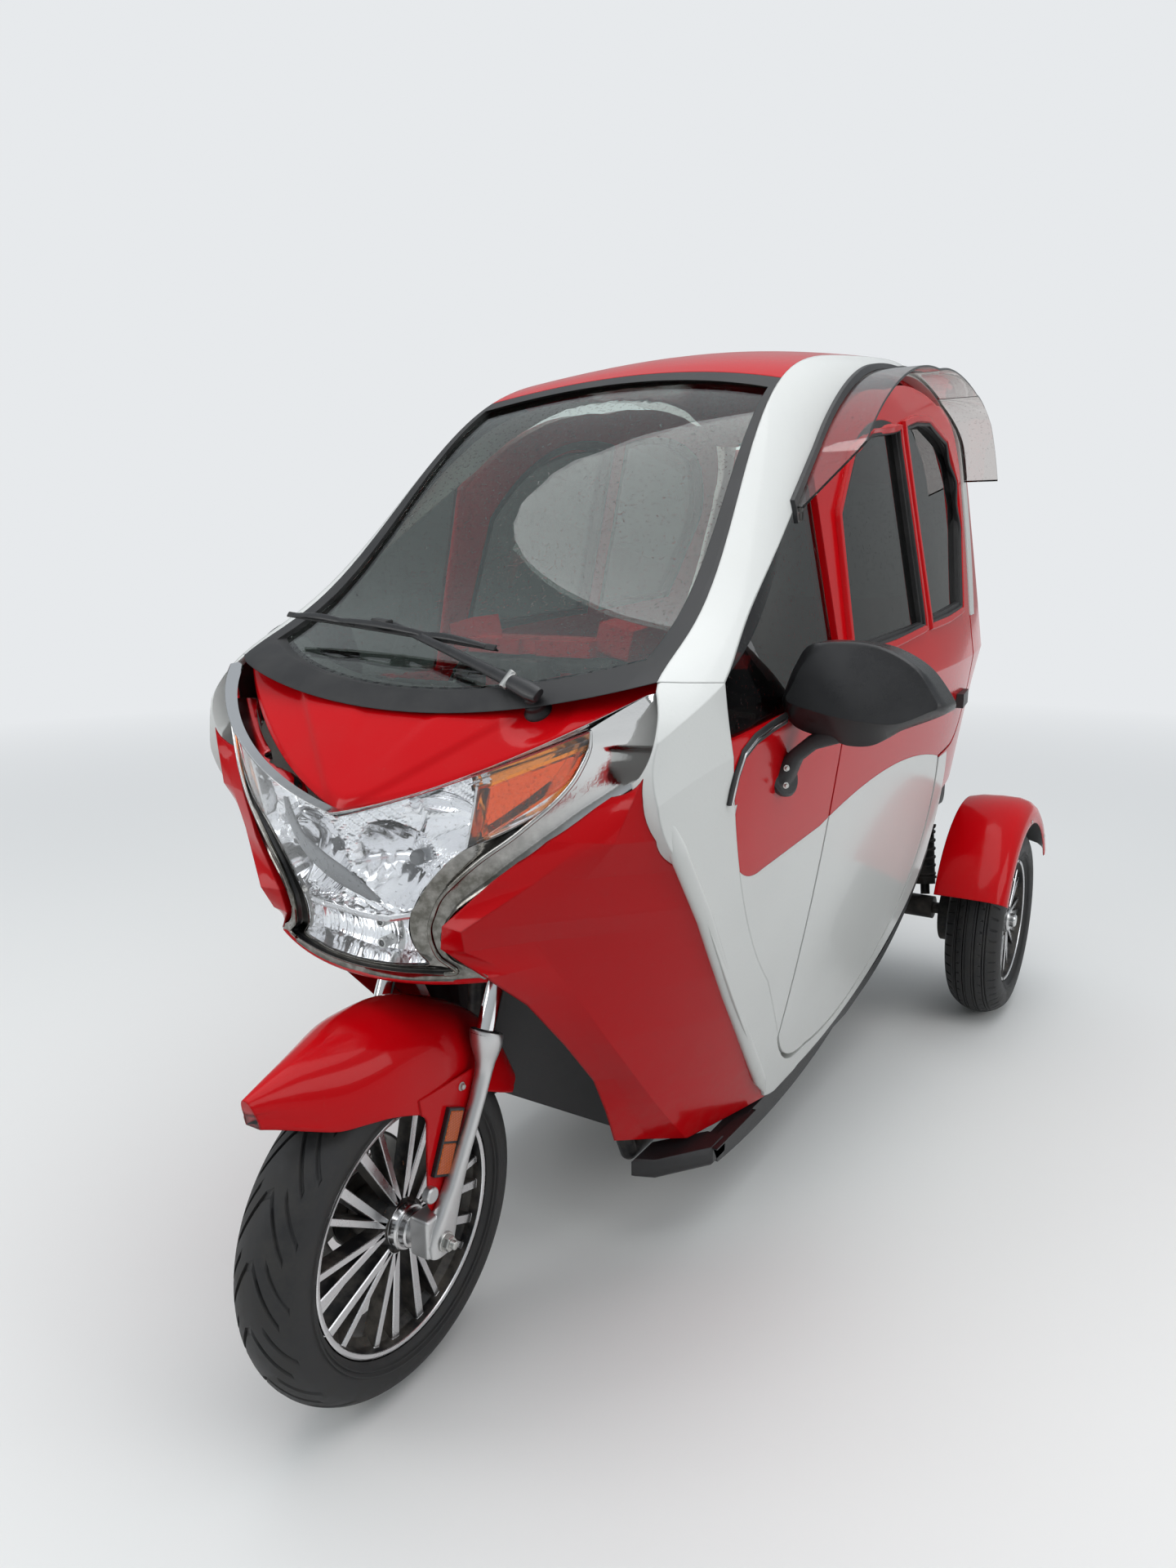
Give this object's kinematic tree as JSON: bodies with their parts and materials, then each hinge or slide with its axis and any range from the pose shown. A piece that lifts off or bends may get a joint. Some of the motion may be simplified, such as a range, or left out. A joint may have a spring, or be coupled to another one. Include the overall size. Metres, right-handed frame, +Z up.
{
  "type": "closed three-wheeled electric car",
  "caption": "Small closed three-wheeled car with one steered front wheel on a fork, two rear wheels, two hinged doors and two rows of seats.",
  "frame": {"origin": "on the ground below the middle of the overall length and width", "axes": "+Z up, -Y the way the car drives, +X its left side"},
  "size_m": [1.312, 2.3953, 1.6049],
  "materials": {
    "red_paint": "gloss",
    "white_paint": "gloss",
    "black_plastic": "satin",
    "tinted_glass": "gloss",
    "clear_lens": "gloss",
    "amber_lens": "gloss",
    "red_lens": "gloss",
    "chrome_trim": "gloss",
    "seal_rubber": "matte",
    "tyre_rubber": "matte",
    "alloy": "satin",
    "steel": "satin",
    "bare_steel": "satin",
    "seat_cover": "satin",
    "battery_case": "matte"
  },
  "bodies": {
    "frame": {"battery_pack": "battery_case", "bench_backrest": "seat_cover", "bench_cushion": "seat_cover", "bonnet": "red_paint", "chassis": "steel", "cowl_panels": "red_paint", "dashboard": "black_plastic", "driver_backrest": "seat_cover", "driver_cushion": "seat_cover", "floor_pan": "black_plastic", "footwell_panels": "white_paint", "headlamp_lens": "clear_lens", "headlamp_reflector": "chrome_trim", "lamp_trim": "chrome_trim", "lower_side_frames": "white_paint", "mirrors": "black_plastic", "nose_fairings": "red_paint", "quarter_glasses": "tinted_glass", "rain_visor_strips": "black_plastic", "rain_visors": "tinted_glass", "rear_axle": "steel", "rear_body": "red_paint", "rear_bumper": "black_plastic", "rear_mudguards": "red_paint", "rear_shocks": "steel", "rear_window": "tinted_glass", "roof": "red_paint", "seat_bases": "black_plastic", "side_hoops": "white_paint", "sills": "black_plastic", "tail_lamps": "red_lens", "turn_signals": "amber_lens", "wheel_arch_liner": "black_plastic", "windscreen": "tinted_glass", "windscreen_seal": "seal_rubber", "wiper": "black_plastic"},
    "left_door": {"left_door_upper": "red_paint", "left_door_lower": "white_paint", "left_window_seals": "seal_rubber", "left_door_glass": "tinted_glass", "left_door_handle": "black_plastic"},
    "right_door": {"right_door_upper": "red_paint", "right_door_lower": "white_paint", "right_window_seals": "seal_rubber", "right_door_glass": "tinted_glass", "right_door_handle": "black_plastic"},
    "steering": {"fork_legs": "alloy", "fork_tubes": "bare_steel", "handlebar": "steel", "handlebar_cover": "red_paint", "front_fender": "red_paint", "fender_reflectors": "amber_lens"},
    "front_wheel": {"front_tyre": "tyre_rubber", "front_rim": "alloy", "brake_disc": "bare_steel"},
    "rear_left_wheel": {"rear_left_tyre": "tyre_rubber", "rear_left_rim": "alloy"},
    "rear_right_wheel": {"rear_right_tyre": "tyre_rubber", "rear_right_rim": "alloy"}
  },
  "joints": [
    {"name": "steering", "type": "hinge", "parent": "frame", "child": "steering", "pos_m": [0, -0.90185, 0.24058], "axis": [0, 0.4067, 0.9135], "range_deg": [-36, 36]},
    {"name": "front_wheel_spin", "type": "hinge", "parent": "steering", "child": "front_wheel", "pos_m": [0, -0.932, 0.254], "axis": [1, 0, 0], "continuous": true},
    {"name": "rear_left_spin", "type": "hinge", "parent": "frame", "child": "rear_left_wheel", "pos_m": [0.458, 0.898, 0.249], "axis": [1, 0, 0], "continuous": true},
    {"name": "rear_right_spin", "type": "hinge", "parent": "frame", "child": "rear_right_wheel", "pos_m": [-0.458, 0.898, 0.249], "axis": [1, 0, 0], "continuous": true},
    {"name": "left_door_hinge", "type": "hinge", "parent": "frame", "child": "left_door", "pos_m": [0.437, -0.272, 0.8], "axis": [0, 0, -1], "range_deg": [0, 65]},
    {"name": "right_door_hinge", "type": "hinge", "parent": "frame", "child": "right_door", "pos_m": [-0.437, -0.272, 0.8], "axis": [0, 0, 1], "range_deg": [0, 65]}
  ]
}
